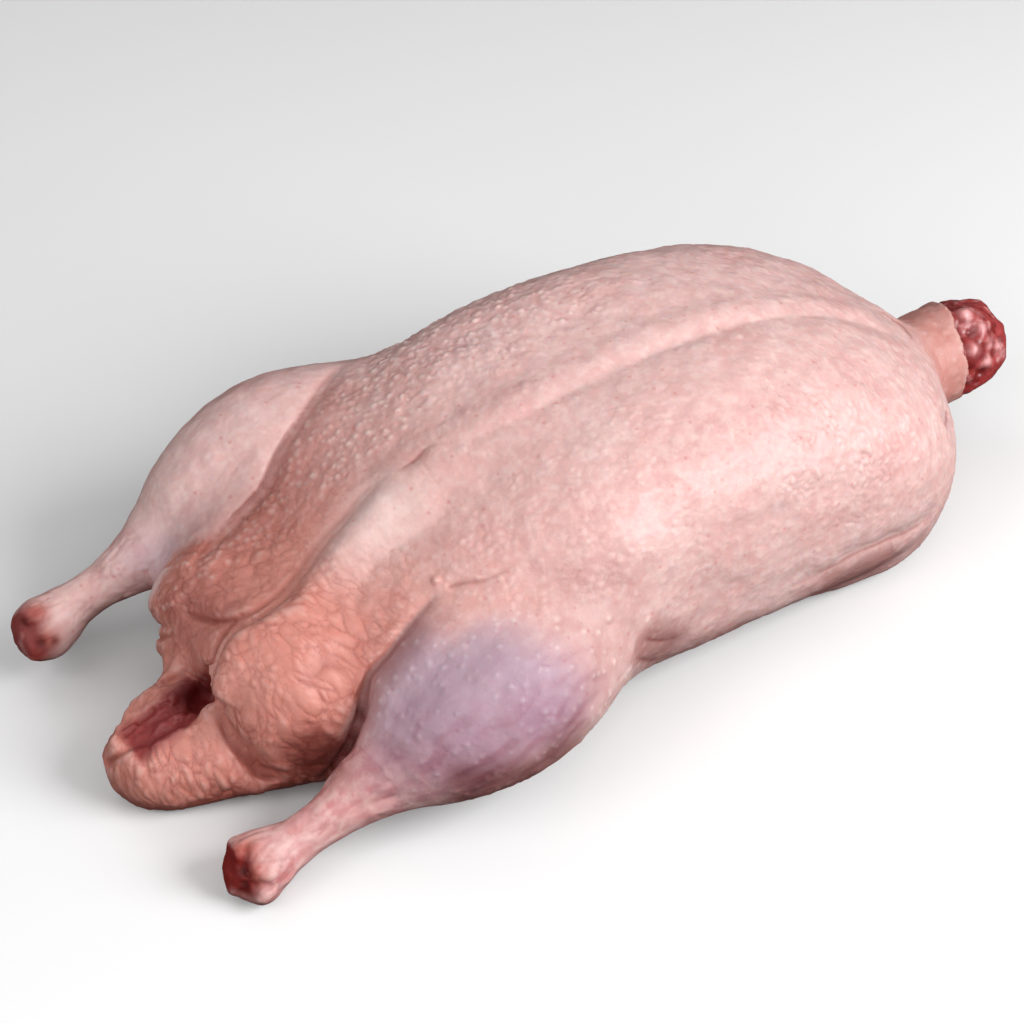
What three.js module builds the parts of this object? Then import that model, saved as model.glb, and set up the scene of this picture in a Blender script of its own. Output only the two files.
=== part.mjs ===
// A whole raw mulard duck, plucked and drawn, lying on its back with the breast up.
// The legs point back beside the tail, the hocks and the neck are cut, and the wings are cut off at
// the shoulder. It is drawn about 500 long and scaled at the end to its real length in millimetres.
// While it is drawn, X runs from the tip of the tail at 0 to the end of the neck, Y from the duck's
// left side, at minus, to its right side, and Z up from the table at 0.
// The form is one smooth field: each part of the body gives the distance to its own surface, and the
// parts flow into each other. The field's zero surface is then meshed, so that the whole bird is one
// closed solid.
import * as THREE from "three";

// Driving dimensions.
const REAL_LENGTH = 430; // the whole bird, from the hocks and the tail to the end of the neck
const ROLL = 4.5; // degrees that the bird leans to its left side
const LEAN_ABOUT = { y: 4, z: 52 }; // axis of that lean
const TABLE = 0; // height of the flat that the back rests on
const SKIN_FLOW = 16; // how far ahead of a fold two masses under the skin flow into each other
const RIM = 8; // the same round the vent, the tail and the wings' roots
const DRAWN = { x: [-14, 518], y: [-150, 150], z: [-16, 160] }; // the box that the drawn bird lies in
const CELL = { fine: 6.4, coarse: 9.6, across: 8.2, up: 7.8 }; // sizes of the mesh's cells
const RELAX_ROUNDS = 4;
const SETTLE_STEPS = 3; // steps that put a vertex back onto the surface in each round
const LONGEST_STEP = 3;
const SLOPE_STEP = 0.05; // how far apart the field is read for its slope
const LEAST_SLOPE = 0.05;
const TINY = 1e-9;

const V = (x, y, z) => new THREE.Vector3(x, y, z);

// Smooth union of two distances: within k of each other they flow together.
const flow = (a, b, k) => {
  const h = Math.max(k - Math.abs(a - b), 0) / k;
  return Math.min(a, b) - (h * h * k) / 4;
};

// Smooth cut: what b fills is taken out of a, with an edge rounded over k.
const carve = (a, b, k) => -flow(-a, b, k);

// Distance to an ellipsoid, turned by yaw about Z and then pitch about Y, in degrees.
const ellipsoid = (centre, radii, yaw = 0, pitch = 0) => {
  const turn = new THREE.Quaternion()
    .setFromEuler(new THREE.Euler(0, THREE.MathUtils.degToRad(pitch), THREE.MathUtils.degToRad(yaw), "ZYX"))
    .invert();
  const q = V(0, 0, 0);
  const s = V(0, 0, 0);
  return (p) => {
    q.subVectors(p, centre).applyQuaternion(turn);
    s.copy(q).divide(radii);
    const k0 = s.length();
    s.divide(radii);
    const k1 = s.length();
    return k1 < TINY ? -Math.min(radii.x, radii.y, radii.z) : (k0 * (k0 - 1)) / k1;
  };
};

// Distance to a limb: a round bar along a smooth curve through stations, each a point and a radius.
const limb = (stations, steps = 24) => {
  const curve = new THREE.CatmullRomCurve3(stations.map((s) => s.at), false, "centripetal");
  const radii = new THREE.SplineCurve(stations.map((s, i) => new THREE.Vector2(i, s.radius)));
  const points = [];
  for (let i = 0; i <= steps; i += 1) {
    const t = i / steps;
    points.push({ at: curve.getPoint(t), radius: radii.getPoint(t).y });
  }
  const along = V(0, 0, 0);
  const rel = V(0, 0, 0);
  return (p) => {
    let best = Infinity;
    for (let i = 0; i < steps; i += 1) {
      const a = points[i];
      const b = points[i + 1];
      along.subVectors(b.at, a.at);
      rel.subVectors(p, a.at);
      const t = THREE.MathUtils.clamp(rel.dot(along) / along.lengthSq(), 0, 1);
      const d = rel.addScaledVector(along, -t).length() - THREE.MathUtils.lerp(a.radius, b.radius, t);
      best = Math.min(best, d);
    }
    return best;
  };
};

const station = (x, y, z, radius) => ({ at: V(x, y, z), radius });

// Distance to a body lofted through sections along X. Each section is broad and rounded: where its
// middle lies across the bird, half its width, the height of its widest line, of its top and of its
// floor, and how square its shoulders and its underside are.
const loft = (sections) => {
  const keys = ["side", "half", "middle", "top", "floor", "square", "under"];
  const curveOf = (key) => new THREE.SplineCurve(sections.map((s) => new THREE.Vector2(s.x, s[key])));
  const curves = keys.map(curveOf);
  const last = sections.length - 1;
  const at = new THREE.Vector2();
  return (p) => {
    let i = 0;
    while (i < last - 1 && p.x > sections[i + 1].x) i += 1;
    const span = sections[i + 1].x - sections[i].x;
    const t = THREE.MathUtils.clamp((i + (p.x - sections[i].x) / span) / last, 0, 1);
    const values = curves.map((curve) => curve.getPoint(t, at).y);
    const [side, half, middle, top, floor, square, under] = values;
    const up = p.z > middle;
    const reach = up ? top - middle : middle - floor;
    const power = up ? square : under;
    const across = Math.abs(p.y - side) / half;
    const rise = Math.abs(p.z - middle) / reach;
    const fill = (across ** power + rise ** power) ** (1 / power);
    const radius = Math.hypot(p.y - side, p.z - middle);
    const round = fill < TINY ? -Math.min(half, reach) : radius * (1 - 1 / fill);
    const beyond = Math.max(sections[0].x - p.x, p.x - sections[last].x);
    return beyond > 0 ? Math.hypot(Math.max(round, 0), beyond) : round;
  };
};
const section = (x, side, half, middle, top, floor, square, under) => ({
  x, side, half, middle, top, floor, square, under,
});

// The trunk, from the soft belly behind the keel to the shoulders.
const trunk = loft([
  section(76, 0, 20, 46, 58, 30, 2, 2),
  section(92, 0, 48, 46, 76, 14, 2.2, 2),
  section(120, 0, 66, 48, 93, 4, 2.5, 2.1),
  section(155, 0, 80, 50, 110, 1, 3.1, 2.2),
  section(200, 1, 92, 50, 127, 0, 3.6, 2.2),
  section(250, 1, 93, 50, 137, -1, 3.6, 2.2),
  section(300, 0, 92, 50, 138.5, -2, 3.3, 2.2),
  section(348, 0, 93, 49, 131, -1, 3, 2.2),
  section(382, 0, 90, 48, 119, 0, 2.7, 2.2),
  section(408, 0, 79, 47, 105, 4, 2.4, 2.2),
  section(427, 0, 59, 46, 89, 11, 2.2, 2.1),
  section(441, 0, 34, 46, 73, 24, 2, 2),
  section(447, 0, 10, 47, 56, 38, 2, 2),
]);
const keelTip = limb([
  station(215, 0, 112, 13),
  station(158, 0, 97, 14),
  station(126, -8, 78, 15),
  station(98, -18, 60, 18),
]);
const lobeLeft = ellipsoid(V(84, -23, 47), V(40, 38, 37));
const lobeRight = ellipsoid(V(84, 31, 40), V(37, 36, 34), 0, -18);

// The rump and the tail: a broad flat wedge of fat, with the vent's furrow along its top.
const tail = loft([
  section(1, -9, 8, 17, 24, 9, 2, 2),
  section(7, -11, 18, 17, 31, 0, 2, 2),
  section(23, -12, 27, 18, 38, -2, 2.1, 2.3),
  section(46, -11, 35, 22, 46, -2, 2.1, 2.4),
  section(73, -11, 46, 26, 54, -3, 2.1, 2.4),
  section(104, -8, 57, 30, 60, -3, 2.1, 2.4),
  section(130, 0, 50, 30, 52, 4, 2, 2),
]);
const vent = limb([
  station(53, -11, 49, 7),
  station(43, -11, 48, 6.5),
  station(29, -10, 44.5, 5.5),
  station(14, -9, 38, 4),
]);

// A leg, from the knee in the flank to the cut hock. side is -1 for the left, 1 for the right.
// forward shifts it toward the neck, spread moves its hock away from the tail, bulk thickens its
// meat and lift raises its knee.
const leg = ({ side, forward, spread, bulk, lift }) => {
  const at = (x, out, z, radius) => station(x + forward, side * out, z, radius);
  return limb([
    at(208, 71, 64 + lift, 24 * bulk + lift / 2),
    at(180, 78, 60 + lift * 0.7, 34 * bulk + lift / 3),
    at(148, 86, 57 + lift * 0.3, 39 * bulk),
    at(120, 87, 50, 33.5 * bulk),
    at(94, 87, 41, 20.5 * bulk),
    at(68, 86 + spread * 0.6, 32, 12),
    at(42, 86 + spread * 0.8, 24, 11),
    at(24, 85 + spread, 18, 15.5),
  ]);
};
const legLeft = leg({ side: -1, forward: 8, spread: 1, bulk: 0.93, lift: 0 });
const legRight = leg({ side: 1, forward: -9, spread: -2, bulk: 1.07, lift: 6 });

// The neck: a skin sleeve, and the cut flesh that stands out of it.
const neck = limb([
  station(400, 0, 50, 36),
  station(436, -1, 51, 25),
  station(460, -2, 53, 23.5),
  station(472, -2, 53, 23.5),
]);
const neckFlesh = limb([station(450, -2, 52, 22), station(480, -1, 53, 23)], 8);

// What is left of each wing, tucked under the shoulder.
const wing = (side) =>
  limb([
    station(410, side * 54, 32, 16),
    station(386, side * 67, 23, 15),
    station(350, side * 69, 18, 11),
    station(320, side * 66, 18, 7),
  ]);
const wingLeft = wing(-1);
const wingRight = wing(1);

// The whole bird, in its own upright frame, leaned over as it lies.
const lean = THREE.MathUtils.degToRad(ROLL);
const own = V(0, 0, 0);
const duck = (p) => {
  const y = p.y - LEAN_ABOUT.y;
  const z = p.z - LEAN_ABOUT.z;
  own.x = p.x;
  own.y = y * Math.cos(lean) + z * Math.sin(lean);
  own.z = z * Math.cos(lean) - y * Math.sin(lean) + LEAN_ABOUT.z;
  let d = flow(trunk(own), keelTip(own), SKIN_FLOW);
  for (const lobe of [lobeLeft, lobeRight]) d = flow(d, lobe(own), SKIN_FLOW);
  d = flow(d, tail(own), RIM);
  d = carve(d, vent(own), RIM);
  for (const stub of [wingLeft, wingRight]) d = flow(d, stub(own), RIM);
  for (const thigh of [legLeft, legRight]) d = flow(d, thigh(own), SKIN_FLOW);
  return flow(d, flow(neck(own), neckFlesh(own), RIM), SKIN_FLOW);
};

// Where the mesh's cells begin and end along one axis, for a cell size that may differ along it.
const ticks = ([low, high], cellAt) => {
  const at = [low];
  while (at[at.length - 1] < high) at.push(at[at.length - 1] + cellAt(at[at.length - 1]));
  return at;
};

// Cells along X are fine at the tail, the hocks and the neck, and coarse over the breast.
const alongCell = (x) => {
  const middle = THREE.MathUtils.smoothstep(x, 90, 200) - THREE.MathUtils.smoothstep(x, 370, 440);
  return THREE.MathUtils.lerp(CELL.fine, CELL.coarse, middle);
};

// Meshes the zero surface of a field on a grid: one vertex in each cell that the surface crosses, and one
// quad round each crossed edge of the grid. Each vertex is then moved onto the surface.
const meshOf = (field, grid) => {
  const n = grid.map((line) => line.length - 1);
  const stride = [1, n[0] + 1, (n[0] + 1) * (n[1] + 1)];
  const at = (i, j, k) => V(grid[0][i], grid[1][j], grid[2][k]);
  const index = (i, j, k) => i * stride[0] + j * stride[1] + k * stride[2];
  const value = new Float64Array((n[0] + 1) * (n[1] + 1) * (n[2] + 1));
  for (let k = 0; k <= n[2]; k += 1)
    for (let j = 0; j <= n[1]; j += 1)
      for (let i = 0; i <= n[0]; i += 1) value[index(i, j, k)] = field(at(i, j, k));

  const corners = [];
  for (let c = 0; c < 8; c += 1) corners.push([c & 1, (c >> 1) & 1, (c >> 2) & 1]);
  const edges = [];
  for (let a = 0; a < 8; a += 1)
    for (const bit of [1, 2, 4]) if (!(a & bit)) edges.push([a, a | bit]);

  const vertexOf = new Map();
  const vertices = [];
  for (let k = 0; k < n[2]; k += 1)
    for (let j = 0; j < n[1]; j += 1)
      for (let i = 0; i < n[0]; i += 1) {
        const v = corners.map(([a, b, c]) => value[index(i + a, j + b, k + c)]);
        const sum = V(0, 0, 0);
        let crossings = 0;
        for (const [a, b] of edges) {
          if (v[a] < 0 === v[b] < 0) continue;
          const from = at(i + corners[a][0], j + corners[a][1], k + corners[a][2]);
          const to = at(i + corners[b][0], j + corners[b][1], k + corners[b][2]);
          sum.add(from.lerp(to, v[a] / (v[a] - v[b])));
          crossings += 1;
        }
        if (!crossings) continue;
        vertexOf.set(index(i, j, k), vertices.length);
        vertices.push(sum.divideScalar(crossings));
      }

  const triangles = [];
  for (let axis = 0; axis < 3; axis += 1) {
    const u = stride[(axis + 1) % 3];
    const w = stride[(axis + 2) % 3];
    for (let k = 1; k < n[2]; k += 1)
      for (let j = 1; j < n[1]; j += 1)
        for (let i = 1; i < n[0]; i += 1) {
          const here = index(i, j, k);
          const inside = value[here] < 0;
          if (inside === value[here + stride[axis]] < 0) continue;
          const ring = [here - u - w, here - w, here, here - u].map((c) => vertexOf.get(c));
          if (!inside) ring.reverse();
          const [a, b, c, d] = ring;
          const shortFirst = vertices[a].distanceTo(vertices[c]) < vertices[b].distanceTo(vertices[d]);
          triangles.push(...(shortFirst ? [a, b, c, a, c, d] : [a, b, d, b, c, d]));
        }
  }
  return { vertices, triangles };
};

const slope = (field, p) => {
  const value = field(p);
  const ahead = ["x", "y", "z"].map((axis) => {
    const q = p.clone();
    q[axis] += SLOPE_STEP;
    return field(q) - value;
  });
  return { value, gradient: V(...ahead).divideScalar(SLOPE_STEP) };
};

// Evens out the vertices along the surface and puts each back onto it.
const relax = (mesh, field, rounds) => {
  const neighbours = mesh.vertices.map(() => new Set());
  for (let t = 0; t < mesh.triangles.length; t += 3)
    for (let c = 0; c < 3; c += 1) {
      const a = mesh.triangles[t + c];
      const b = mesh.triangles[t + ((c + 1) % 3)];
      neighbours[a].add(b);
      neighbours[b].add(a);
    }
  for (let round = 0; round < rounds; round += 1) {
    const moved = mesh.vertices.map((v, i) => {
      const mean = V(0, 0, 0);
      neighbours[i].forEach((j) => mean.add(mesh.vertices[j]));
      return v.clone().lerp(mean.divideScalar(neighbours[i].size), 0.5);
    });
    moved.forEach((v, i) => {
      for (let step = 0; step < SETTLE_STEPS; step += 1) {
        const { value, gradient } = slope(field, v);
        const reach = value / Math.max(gradient.lengthSq(), LEAST_SLOPE);
        v.addScaledVector(gradient, -THREE.MathUtils.clamp(reach, -LONGEST_STEP, LONGEST_STEP));
      }
      mesh.vertices[i].copy(v);
    });
  }
};

const mesh = meshOf(duck, [
  ticks(DRAWN.x, alongCell),
  ticks(DRAWN.y, () => CELL.across),
  ticks(DRAWN.z, () => CELL.up),
]);
relax(mesh, duck, RELAX_ROUNDS);
mesh.vertices.forEach((v) => v.setZ(Math.max(v.z, TABLE)));

const geometry = new THREE.BufferGeometry().setFromPoints(mesh.vertices).setIndex(mesh.triangles);
geometry.computeBoundingBox();
const middle = geometry.boundingBox.getCenter(V(0, 0, 0));
const size = REAL_LENGTH / geometry.boundingBox.getSize(V(0, 0, 0)).x;
geometry.translate(-middle.x, -middle.y, -TABLE);
geometry.scale(size, size, size);
geometry.computeVertexNormals();

const skin = new THREE.MeshStandardMaterial({ color: 0xe3b3a8, roughness: 0.45, metalness: 0 });
const bird = new THREE.Mesh(geometry, skin);
bird.name = "duck";

const group = new THREE.Group();
group.add(bird);
export default group;
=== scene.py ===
"""A whole raw mulard duck on its back: its skin, folds, wrinkles and cut ends, on a pale floor.

The bird's solid gives the size and the main masses. Here its surface is made finer and sculpted:
first the folds between the masses, then the wrinkles and pebbling of the skin, then the bumps.
Folds that the photograph shows are named lines of its pixels, traced onto the surface from the
camera, and the hidden side gets their mirror images. Lengths are in millimetres.
"""

import itertools
import math

import bpy
import numpy as np
from mathutils import Matrix, Vector
from mathutils.bvhtree import BVHTree


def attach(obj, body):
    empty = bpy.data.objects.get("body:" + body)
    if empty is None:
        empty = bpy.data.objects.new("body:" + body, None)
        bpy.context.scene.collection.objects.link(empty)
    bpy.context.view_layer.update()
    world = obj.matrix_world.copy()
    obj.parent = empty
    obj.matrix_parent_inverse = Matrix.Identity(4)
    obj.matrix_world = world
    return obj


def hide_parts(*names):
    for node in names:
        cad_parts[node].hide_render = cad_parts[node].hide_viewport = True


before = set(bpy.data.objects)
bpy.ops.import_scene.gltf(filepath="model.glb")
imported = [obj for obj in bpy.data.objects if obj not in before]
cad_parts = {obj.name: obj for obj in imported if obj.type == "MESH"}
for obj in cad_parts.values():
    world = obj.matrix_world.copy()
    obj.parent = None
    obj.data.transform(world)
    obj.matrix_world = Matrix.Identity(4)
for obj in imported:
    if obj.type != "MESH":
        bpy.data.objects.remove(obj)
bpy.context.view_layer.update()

MM = 0.001
TINY = 1e-6
FAINT = 0.02
SHORTEST_FADE = 1e-3
FINE_ROUNDS = 1

# The camera.
IMAGE_MIDDLE = np.array([512.0, 511.5])
IMAGE_WIDTH = 1024
AZIMUTH, ELEVATION = math.radians(-33.0), math.radians(40.0)
LOOKS_AT = np.array([-28.55, 5.35, 47.05])
CAMERA_DISTANCE = 1026.5
FOCAL_PIXELS = 2616.0
SENSOR = 36.0

# How the bird lies: it leans to its left side about a line along X.
LEAN = math.radians(4.5)
LEAN_Y, LEAN_Z = -1.92, 44.48
UNIT = 0.8554
TAIL_TIP = -215.0


def smooth(low, high, value):
    """0 below low, 1 above high, and a smooth step between. It falls where low is above high."""
    t = np.clip((value - low) / (high - low), 0, 1)
    return t * t * (3 - 2 * t)


def unit(vectors):
    return vectors / np.maximum(np.linalg.norm(vectors, axis=-1, keepdims=True), 1e-12)


# Noise.

HASH_X, HASH_Y, HASH_Z = 73856093, 19349663, 83492791
HASH_SEED = 2654435761
HASH_ROUNDS = ((15, 2246822519), (13, 3266489917))
BITS_32 = 0xFFFFFFFF
BITS_24 = 0xFFFFFF
GRADIENTS = np.array([g for g in itertools.product((-1, 0, 1), repeat=3) if sum(map(abs, g)) == 2])
GRADIENT_SPAN = 11.999
NOISE_GAIN = 1.3


def chance(cell, seed):
    """A fixed random number from 0 to 1 for each whole-number cell."""
    mixed = cell[..., 0] * HASH_X ^ cell[..., 1] * HASH_Y ^ cell[..., 2] * HASH_Z
    mixed = (mixed ^ seed * HASH_SEED) & BITS_32
    for shift, factor in HASH_ROUNDS:
        mixed = ((mixed ^ mixed >> shift) * factor) & BITS_32
    return ((mixed ^ mixed >> 16) & BITS_24) / BITS_24


def noise(points, size, seed):
    """Smooth noise from about -1 to 1, with lumps about size across."""
    scaled = points / size
    cell = np.floor(scaled).astype(np.int64)
    part = scaled - cell
    ease = part**3 * (part * (part * 6 - 15) + 10)
    total = np.zeros(len(points))
    for corner in itertools.product((0, 1), repeat=3):
        share = np.prod(np.where(corner, ease, 1 - ease), axis=1)
        pick = (chance(cell + corner, seed) * GRADIENT_SPAN).astype(int)
        total += share * (GRADIENTS[pick] * (part - corner)).sum(1)
    return NOISE_GAIN * total


def rough(points, size, seed, octaves=3):
    """Noise at several scales, each half as large and half as strong."""
    return sum(noise(points, size / 2**i, seed + i) / 2**i for i in range(octaves)) / 1.5


def cells(points, seed):
    """For points in units of a cell: distances to the nearest two centres, and the nearest's number."""
    base = np.floor(points).astype(np.int64)
    first = np.full(len(points), 9.0)
    second = first.copy()
    number = np.zeros(len(points))
    for offset in itertools.product((-1, 0, 1), repeat=3):
        cell = base + offset
        centre = cell + np.stack([chance(cell, seed + axis) for axis in range(3)], 1)
        reach = np.linalg.norm(points - centre, axis=1)
        nearer = reach < first
        second = np.where(nearer, first, np.minimum(second, reach))
        number = np.where(nearer, chance(cell, seed + 3), number)
        first = np.where(nearer, reach, first)
    return first, second, number


# The mesh.


class Skin:
    """A closed triangle mesh whose points move along their normals."""

    def __init__(self, points, triangles):
        self.points = points
        self.triangles = triangles
        self.find_edges()
        self.refresh()

    def find_edges(self):
        corners = self.triangles
        sides = np.concatenate([corners[:, [0, 1]], corners[:, [1, 2]], corners[:, [2, 0]]])
        sides = np.sort(sides, axis=1)
        keys, self.edge_of_side = np.unique(
            sides[:, 0] * len(self.points) + sides[:, 1], return_inverse=True
        )
        self.edge_of_side = self.edge_of_side.ravel()
        self.edges = np.stack([keys // len(self.points), keys % len(self.points)], 1)
        self.degree = np.bincount(self.edges.ravel(), minlength=len(self.points))

    def refresh(self):
        """Works out the normals again."""
        a, b, c = (self.points[self.triangles[:, i]] for i in range(3))
        face = np.cross(b - a, c - a)
        self.normals = unit(gather(self.triangles, np.repeat(face, 3, 0), len(self.points)))

    def tree(self):
        return BVHTree.FromPolygons(self.points.tolist(), self.triangles.tolist())

    def ring(self, values):
        """The mean of each point's neighbours."""
        a, b = self.edges.T
        ends = np.concatenate([a, b])
        others = np.concatenate([values[b], values[a]])
        total = gather(ends, others, len(self.points))
        return total / (self.degree[:, None] if values.ndim > 1 else self.degree)

    def finer(self):
        """The mesh after one round of Loop subdivision."""
        points, corners = self.points, self.triangles
        count = len(points)
        opposite = np.concatenate([corners[:, 2], corners[:, 0], corners[:, 1]])
        far = gather(self.edge_of_side, points[opposite], len(self.edges))
        middles = 0.375 * points[self.edges].sum(1) + 0.125 * far
        share = 0.625 - (0.375 + 0.25 * np.cos(2 * np.pi / self.degree)) ** 2
        kept = points + share[:, None] * (self.ring(points) - points)
        ab, bc, ca = self.edge_of_side.reshape(3, -1) + count
        a, b, c = corners.T
        triangles = [(a, ab, ca), (ab, b, bc), (ca, bc, c), (ab, bc, ca)]
        triangles = np.concatenate([np.stack(t, 1) for t in triangles])
        return Skin(np.concatenate([kept, middles]), triangles)

    def push(self, height):
        """Moves each point along its normal, and none below the floor."""
        self.points = self.points + self.normals * height[:, None]
        self.points[:, 2] = np.maximum(self.points[:, 2], 0)
        self.refresh()


def gather(owners, values, count):
    """Sums values by owner."""
    owners = owners.ravel()
    if values.ndim == 1:
        return np.bincount(owners, values, count)
    return np.stack([np.bincount(owners, column, count) for column in values.T], 1)


def skin_of(node):
    """A CAD node's mesh in millimetres, with its doubled points merged."""
    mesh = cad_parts[node].data
    mesh.calc_loop_triangles()
    points = np.empty(len(mesh.vertices) * 3)
    mesh.vertices.foreach_get("co", points)
    corners = np.empty(len(mesh.loop_triangles) * 3, np.int32)
    mesh.loop_triangles.foreach_get("vertices", corners)
    points = np.round(points.reshape(-1, 3) / MM, 3)
    merged, owner = np.unique(points, axis=0, return_inverse=True)
    return Skin(merged, owner.ravel()[corners].reshape(-1, 3).astype(np.int64))


# Lines on the surface.


def camera_axes():
    back = np.array([
        math.sin(AZIMUTH) * math.cos(ELEVATION),
        -math.cos(AZIMUTH) * math.cos(ELEVATION),
        math.sin(ELEVATION),
    ])
    right = np.array([math.cos(AZIMUTH), math.sin(AZIMUTH), 0.0])
    return right, np.cross(back, right), back


def seen(tree, pixels):
    """Where the camera sees these pixels on the surface. A pixel off the bird is left out."""
    right, up, back = camera_axes()
    eye = LOOKS_AT + back * CAMERA_DISTANCE
    found = []
    for u, v in (np.atleast_2d(pixels) - IMAGE_MIDDLE) / FOCAL_PIXELS:
        hit = tree.ray_cast(Vector(eye), Vector(right * u - up * v - back))[0]
        if hit is not None:
            found.append(hit)
    return np.array(found).reshape(-1, 3)


def rounded(points, step):
    """Points about a step apart on a smooth line through the given ones."""
    points = np.asarray(points, float)
    before, after = 2 * points[0] - points[1], 2 * points[-1] - points[-2]
    knots = np.vstack([before, points, after])
    line = []
    for a, b, c, d in zip(knots[:-3], knots[1:-2], knots[2:-1], knots[3:]):
        count = max(int(np.linalg.norm(c - b) / step), 1)
        t = (np.arange(count) / count)[:, None]
        bend = 2 * a - 5 * b + 4 * c - d + t * (3 * (b - c) + d - a)
        line.append(b + 0.5 * t * (c - a + t * bend))
    return np.vstack([*line, points[-1:]])


def upright(points):
    """Points in the bird's own frame: X from the tail's tip, Y from its middle, Z up its height."""
    y, z = points[:, 1] - LEAN_Y, points[:, 2] - LEAN_Z
    own_y = y * math.cos(LEAN) + z * math.sin(LEAN)
    own_z = z * math.cos(LEAN) - y * math.sin(LEAN) + LEAN_Z
    return np.stack([points[:, 0] - TAIL_TIP, own_y, own_z], 1) / UNIT


def lying(points):
    """The reverse of upright."""
    x, y, z = (np.asarray(points, float) * UNIT).T
    z = z - LEAN_Z
    across = y * math.cos(LEAN) - z * math.sin(LEAN) + LEAN_Y
    return np.stack([x + TAIL_TIP, across, z * math.cos(LEAN) + y * math.sin(LEAN) + LEAN_Z], 1)


def mirrored(tree, line):
    """A line's mirror image on the bird's other side."""
    flipped = lying(upright(line) * (1, -1, 1))
    return np.array([tree.find_nearest(Vector(p))[0] for p in flipped])


def traced(tree, pixels, step=3.0, gap=7.0):
    """Where a smooth line through these pixels lies on the surface, up to where it leaves it."""
    line = seen(tree, rounded(pixels, step))
    jumps = np.flatnonzero(np.linalg.norm(np.diff(line, axis=0), axis=1) > gap)
    if not len(jumps):
        return line
    ends = np.concatenate([[0], jumps + 1, [len(line)]])
    longest = np.argmax(np.diff(ends))
    return line[ends[longest]:ends[longest + 1]]


class Near:
    """The points near a line: how far off they are, on which side, and how far along it."""

    def __init__(self, skin, line, reach):
        low, high = line.min(0) - reach, line.max(0) + reach
        rows = np.flatnonzero(((skin.points > low) & (skin.points < high)).all(1))
        points, normals = skin.points[rows], skin.normals[rows]
        best = np.full(len(rows), np.inf)
        side, along = np.zeros(len(rows)), np.zeros(len(rows))
        lengths = np.linalg.norm(np.diff(line, axis=0), axis=1)
        starts = np.concatenate([[0], np.cumsum(lengths)])
        for start, end, length, begun in zip(line[:-1], line[1:], lengths, starts):
            if length < TINY:
                continue
            ahead = (end - start) / length
            t = np.clip((points - start) @ ahead, 0, length)
            offset = points - start - t[:, None] * ahead
            away = np.linalg.norm(offset, axis=1)
            nearer = away < best
            left = (np.cross(normals, ahead) * offset).sum(1)
            best = np.where(nearer, away, best)
            side = np.where(nearer, left, side)
            along = np.where(nearer, begun + t, along)
        kept = best < reach
        self.rows, self.away = rows[kept], best[kept]
        self.side = np.sign(side[kept]) * self.away
        self.along = along[kept] / starts[-1]
        self.length = starts[-1]

    def fade(self, start, end):
        """1 along the line, falling to 0 over these millimetres at its ends."""
        gone = self.along * self.length
        begun = smooth(-TINY, max(start, SHORTEST_FADE), gone)
        return begun * smooth(-TINY, max(end, SHORTEST_FADE), self.length - gone)

    def strength(self, values):
        """Values given at even steps along the line."""
        return np.interp(self.along, np.linspace(0, 1, len(values)), values)


def groove(skin, height, line, fold, hand):
    """Sinks a fold's valley along a line, with its lips. Where a depth is negative, a ridge rises."""
    bank_width = fold.broad * fold.width
    near = Near(skin, line, max(7 * fold.width, 6 * bank_width))
    depth = near.strength(fold.depths) * near.fade(*fold.fade)
    valley = np.exp(-near.away / fold.width)
    bank = np.exp(-(((near.away - 2.3 * bank_width) / (1.5 * bank_width)) ** 2))
    if fold.over:
        bank = bank * smooth(-0.6 * fold.width, 1.2 * fold.width, near.side * hand * fold.over)
    height[near.rows] += depth * (fold.lip * bank - valley)


def fill(skin, line, reach, rounds):
    """Fills the hollow along a line: points rise towards their neighbours' mean, and none sinks."""
    near = Near(skin, line, reach)
    share = np.zeros(len(skin.points))
    share[near.rows] = smooth(reach, 0.5 * reach, near.away)
    for count in range(rounds):
        rise = ((skin.ring(skin.points) - skin.points) * skin.normals).sum(1)
        skin.points = skin.points + skin.normals * (share * np.maximum(rise, 0))[:, None]
        if count % 4 == 3:
            skin.refresh()


def fill_hollows(skin, fills):
    """Fills the hollow along each of these lines, all traced before the first is filled."""
    tree = skin.tree()
    for pixels, reach, rounds in fills:
        fill(skin, traced(tree, pixels), reach, rounds)


def dent(skin, height, centres, radius, depth):
    """Sinks a round hollow at each place, or raises a lump where the depth is negative."""
    for centre in np.atleast_2d(centres):
        away = np.linalg.norm(skin.points - centre, axis=1)
        height -= depth * np.exp(-((away / radius) ** 2))


# The folds and places on the skin, as pixels of the photograph.
KEEL_GROOVE = [
    (905, 338), (850, 318), (800, 314), (755, 319), (705, 332), (655, 351), (605, 373), (560, 396),
    (510, 422), (470, 438), (440, 445),
]
KEEL_NOTCH = [(442, 441), (427, 448), (414, 460), (393, 474)]
LOBE_CREASE = [
    (393, 473), (367, 489), (342, 517), (316, 545), (299, 570), (278, 593), (255, 609), (235, 620),
    (221, 635), (212, 654), (208, 668), (207, 684),
]
FAR_LOBE_FILL = [(236, 535), (212, 565), (190, 590)]
FAR_LOBE_CREASE = [(177, 612), (190, 616), (205, 620), (220, 622), (235, 620)]
FAR_LOBE_FOLD = [(182, 650), (186, 662), (194, 672), (207, 681)]
FAR_LOBE_EDGE = [(150, 679), (166, 680), (180, 674), (189, 668)]
NEAR_BAND_GROOVE = [(452, 478), (444, 512), (410, 537), (376, 562), (356, 595), (352, 625)]
FAR_LEG_CREASE = [
    (366, 345), (352, 356), (324, 382), (299, 420), (278, 453), (263, 486), (251, 500), (237, 514),
    (228, 524), (212, 540), (198, 556), (186, 569),
]
NEAR_LEG_CREASE = [
    (446, 583), (440, 589), (425, 606), (411, 622), (398, 638), (389, 651), (376, 666), (368, 676),
    (363, 692), (359, 718), (350, 743), (338, 766), (328, 779),
]
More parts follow.
